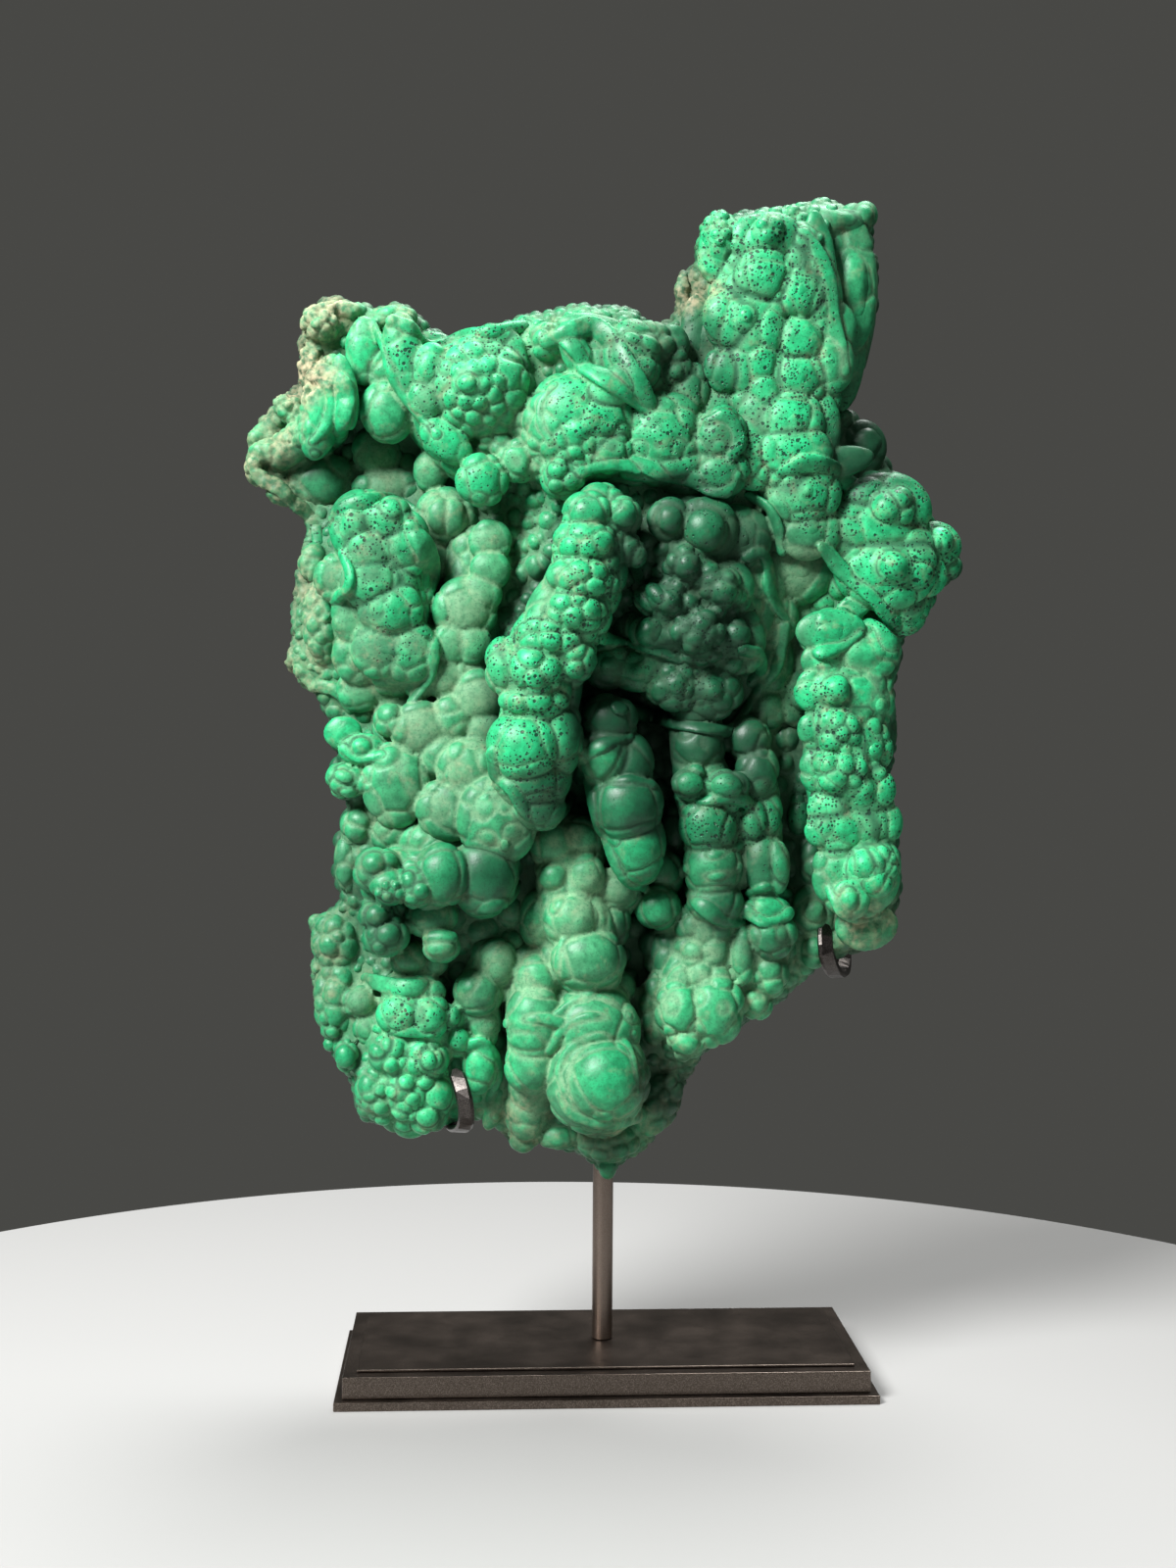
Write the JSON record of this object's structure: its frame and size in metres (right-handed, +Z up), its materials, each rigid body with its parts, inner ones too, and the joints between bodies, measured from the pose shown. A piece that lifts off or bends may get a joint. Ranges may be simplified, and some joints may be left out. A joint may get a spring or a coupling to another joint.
{
  "type": "malachite specimen",
  "caption": "Botryoidal green malachite with finger-like stalactites, held upright by two metal hooks on a round stem and a stepped rectangular base.",
  "frame": {"origin": "centre of the base's underside, where the stand rests", "axes": "+Z up along the stem, +X to the viewer's right along the base's long side, -Y towards the viewer, the side that the stone faces"},
  "size_m": [0.2718, 0.1088, 0.4522],
  "materials": {
    "malachite": "satin to dull, natural botryoidal skin",
    "bronze_base": "fine satin bronze powder coat",
    "bronze_stem": "satin bronze",
    "hook_metal": "dark satin, edges worn bright"
  },
  "bodies": {
    "root": {"malachite": "malachite", "base_foot_plate": "bronze_base", "base_block": "bronze_base", "base_top_plate": "bronze_base", "stem": "bronze_stem", "left_hook_arm": "hook_metal", "right_hook_arm": "hook_metal"}
  },
  "joints": []
}
